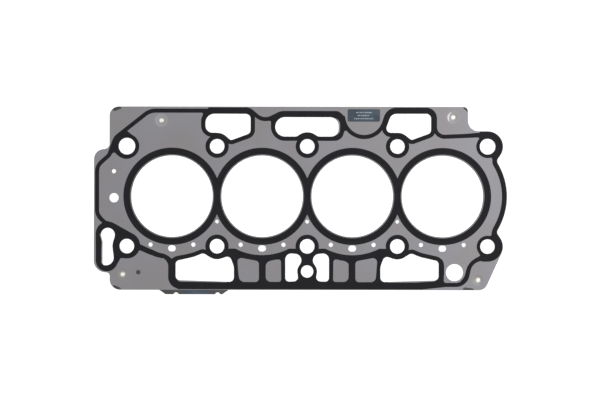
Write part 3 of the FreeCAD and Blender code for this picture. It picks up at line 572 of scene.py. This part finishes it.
def reliefPiece(name, nodeName, spreads, values, material):
    # the print on its own fine mesh, open below where it is bonded to the sheet
    base, top = (corner.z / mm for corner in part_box(nodeName))
    step = values["gridStep"]
    solid = [divided(loop, step) for loop in topLoops(nodes[nodeName].data, top)]
    spread = [divided(loop, step) for loop in spreads.values()]
    places, faces, gaps = reliefTriangles(solid, spread, values)
    vertices = [(place.x * mm, place.y * mm, reliefHeight(gap, base, top, values) * mm)
                for place, gap in zip(places, gaps)]
    # walls from the edge down to the sheet
    sides = outerSides(faces)
    under = {}
    for side in sides:
        for corner in side:
            if corner not in under:
                under[corner] = len(vertices)
                vertices.append((*vertices[corner][:2], base * mm))
    walls = [(b, a, under[a], under[b]) for a, b in sides]
    piece = addPiece(name, vertices, faces + walls, material)
    for polygon in piece.data.polygons:
        polygon.use_smooth = len(polygon.vertices) == 3
    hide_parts(nodeName)
    print(name, len(piece.data.polygons), "faces")


rubber = makeSealPrint(sealPrint)
dress("bore_print", rubber)
reliefPiece("embossed_outer_print", "outer_print", printSpread, sealPrint, rubber)
print("print laid down")


# Marking in the window

marking = {
    "ink": "#a9b2bb",           # pale ink on the spacer
    "wornInk": "#7c8791",
    "wear": 0.8,                # mm, size of the worn spots
    "roughness": 0.6,
    # mm, x of the middle, y and length of each row
    "rows": [(52.2, 77.2, 14.6), (51.5, 74.5, 10.4), (51.8, 71.6, 17.6)],
    "dashHeight": 0.95,         # mm, as are the next four
    "dashLengths": (1.5, 0.9, 1.8, 1.2, 0.8),
    "dashGap": 0.45,
    "shortestDash": 0.3,
    "rise": 0.012,
}


def makeMarkingInk(values):
    # pale marking ink: matt, and worn so that its tone wavers along a dash
    material, tree = newMaterial("paleMarkingInk")
    wear = addNode(tree, "ShaderNodeTexNoise", {
        "Vector": partPlace(tree), "Scale": perMetre(values["wear"]), "Detail": 2.0})
    finishMaterial(tree, {
        "Base Color": ramp(tree, wear.outputs["Fac"], [(0.4, linear(values["wornInk"])),
                                                       (0.6, linear(values["ink"]))]),
        "Roughness": values["roughness"]})
    return material


def makeMarking(values, height):
    # rows of plain dashes, each a thin flat bar on the spacer
    vertices = []
    faces = []
    count = 0
    sideQuads = [(k, (k + 1) % 4, (k + 1) % 4 + 4, k + 4) for k in range(4)]
    for middle, y, length in values["rows"]:
        low, high = y - values["dashHeight"] / 2, y + values["dashHeight"] / 2
        x = middle - length / 2
        end = middle + length / 2
        while x < end - values["shortestDash"]:
            dash = min(values["dashLengths"][count % len(values["dashLengths"])], end - x)
            first = len(vertices)
            for z in (height, height + values["rise"]):
                for px, py in ((x, low), (x + dash, low), (x + dash, high), (x, high)):
                    vertices.append((px * mm, py * mm, z * mm))
            for quad in [(4, 5, 6, 7), (0, 3, 2, 1), *sideQuads]:
                faces.append(tuple(first + k for k in quad))
            x += dash + values["dashGap"]
            count += 1
    addPiece("marking_dashes", vertices, faces, makeMarkingInk(values))


makeMarking(marking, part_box("spacer_layer")[1].z / mm)
print("marking drawn")


# Rivets

rivetHead = {
    "plate": "#fffef7",         # bright zinc with a faint yellow passivate
    "shade": "#f6f3e4",
    "pitting": 0.7,             # mm
    "roughness": 0.3,
    "bump": (0.3, 0.05),        # strength, and depth in mm
    "reach": 2.4,               # mm, radius at which the painted shade at the head's edge is darkest
    # share of the reach and brightness there, shade painted on towards the head's edge
    "edge": [(0.0, 1.0), (0.35, 0.95), (0.6, 0.76), (0.85, 0.52), (1.0, 0.45)],
}


def makeRivetHead(values):
    # zinc-plated mild steel, upset cold: bright and slightly dimpled, with shade painted on
    # towards its edge where the dome turns from the light
    material, tree = newMaterial("zincPlatedRivet")
    place = partPlace(tree)
    pits = addNode(tree, "ShaderNodeTexNoise", {
        "Vector": place, "Scale": perMetre(values["pitting"]), "Detail": 2.0})
    tone = ramp(tree, pits.outputs["Fac"],
                [(0.35, linear(values["shade"])), (0.6, linear(values["plate"]))])
    seenFlat = addNode(tree, "ShaderNodeVectorMath", {0: place, 1: (1, 1, 0)},
                       operation="MULTIPLY").outputs["Vector"]
    nearest, *others = [distanceTo(tree, seenFlat, (x * mm, y * mm, 0)) for x, y in rivetPlaces]
    for other in others:
        nearest = combined(tree, "MINIMUM", nearest, other)
    share = combined(tree, "DIVIDE", nearest, values["reach"] * mm)
    # painted shade: each head darker towards its edge
    paintedEdgeShade = ramp(tree, share, [(at, grey(level)) for at, level in values["edge"]])
    finishMaterial(tree, {
        "Base Color": mixed(tree, 1.0, tone, paintedEdgeShade, blend="MULTIPLY"), "Metallic": 1.0,
        "Roughness": values["roughness"],
        "Normal": bumped(tree, pits.outputs["Fac"], values["bump"])})
    return material


dress("rivets", makeRivetHead(rivetHead))
print("rivets dressed")


# Floor, light and camera, in metres

studio = {
    "floorReach": 1.6,
    "floorTone": 0.8,
    "floorGlow": 0.55,          # lifts the floor to white where the camera or the metal sees it
    "worldLight": 0.965,
    "softboxLight": 3.1,        # W
    "softboxSize": 0.9,
    "softboxPlace": (0.66, 0.25, 1.15),
    "frameWidth": 0.5529,       # seen across the picture
    "middle": (-0.00667, -0.00336),   # point of the part under the picture's middle
    "distance": 1.1,
    "turn": 0.0015,             # rad, the part lies this little off square to the picture
    "filmWidth": 36.0,          # mm
    "clip": (0.01, 20.0),
}


def makeFloor(values):
    # plain pale floor: matt, keeps the part's shadow, and looks white to camera and metal
    mesh = bpy.data.meshes.new("floor")
    reach = values["floorReach"]
    corners = [(-reach, -reach, 0), (reach, -reach, 0), (reach, reach, 0), (-reach, reach, 0)]
    mesh.from_pydata(corners, [], [(0, 1, 2, 3)])
    floor = bpy.data.objects.new("floor", mesh)
    scene.collection.objects.link(floor)
    material, tree = newMaterial("paleFloor")
    ray = addNode(tree, "ShaderNodeLightPath").outputs
    seen = combined(tree, "MAXIMUM", ray["Is Camera Ray"], ray["Is Glossy Ray"])
    seen = combined(tree, "MAXIMUM", seen, ray["Is Transmission Ray"])
    plain = addNode(tree, "ShaderNodeBsdfDiffuse", {"Color": grey(values["floorTone"])})
    glow = addNode(tree, "ShaderNodeEmission", {"Color": grey(1.0),
                                                "Strength": values["floorGlow"]})
    both = addNode(tree, "ShaderNodeAddShader", {0: plain.outputs["BSDF"],
                                                 1: glow.outputs["Emission"]})
    mix = addNode(tree, "ShaderNodeMixShader", {"Fac": seen, 1: plain.outputs["BSDF"],
                                                2: both.outputs["Shader"]})
    addNode(tree, "ShaderNodeOutputMaterial", {"Surface": mix.outputs["Shader"]})
    mesh.materials.append(material)


def makeWorld(values):
    # even light on the part, and plain white behind it
    world = bpy.data.worlds.new("studioWorld")
    world.use_nodes = True
    tree = world.node_tree
    tree.nodes.clear()
    ray = addNode(tree, "ShaderNodeLightPath")
    light = addNode(tree, "ShaderNodeBackground", {"Color": grey(1.0),
                                                   "Strength": values["worldLight"]})
    seen = addNode(tree, "ShaderNodeBackground", {"Color": grey(1.0), "Strength": 1.0})
    mix = addNode(tree, "ShaderNodeMixShader", {"Fac": ray.outputs["Is Camera Ray"],
                                                1: light.outputs["Background"],
                                                2: seen.outputs["Background"]})
    addNode(tree, "ShaderNodeOutputWorld", {"Surface": mix.outputs["Shader"]})
    scene.world = world


def makeSoftbox(values):
    lamp = bpy.data.lights.new("softbox", "AREA")
    lamp.energy = values["softboxLight"]
    lamp.size = values["softboxSize"]
    softbox = bpy.data.objects.new("softbox", lamp)
    softbox.location = values["softboxPlace"]
    aim = Vector((0, 0, 0)) - softbox.location
    softbox.rotation_euler = aim.to_track_quat("-Z", "Y").to_euler()
    scene.collection.objects.link(softbox)


def makeCamera(values):
    lens = bpy.data.cameras.new("camera")
    lens.sensor_width = values["filmWidth"]
    lens.lens = values["filmWidth"] * values["distance"] / values["frameWidth"]
    lens.clip_start, lens.clip_end = values["clip"]
    camera = bpy.data.objects.new("camera", lens)
    camera.location = (*values["middle"], values["distance"])
    camera.rotation_euler = (0, 0, values["turn"])
    scene.collection.objects.link(camera)
    scene.camera = camera


makeFloor(studio)
makeWorld(studio)
makeSoftbox(studio)
makeCamera(studio)
scene.view_settings.view_transform = "Standard"
print("stage set")
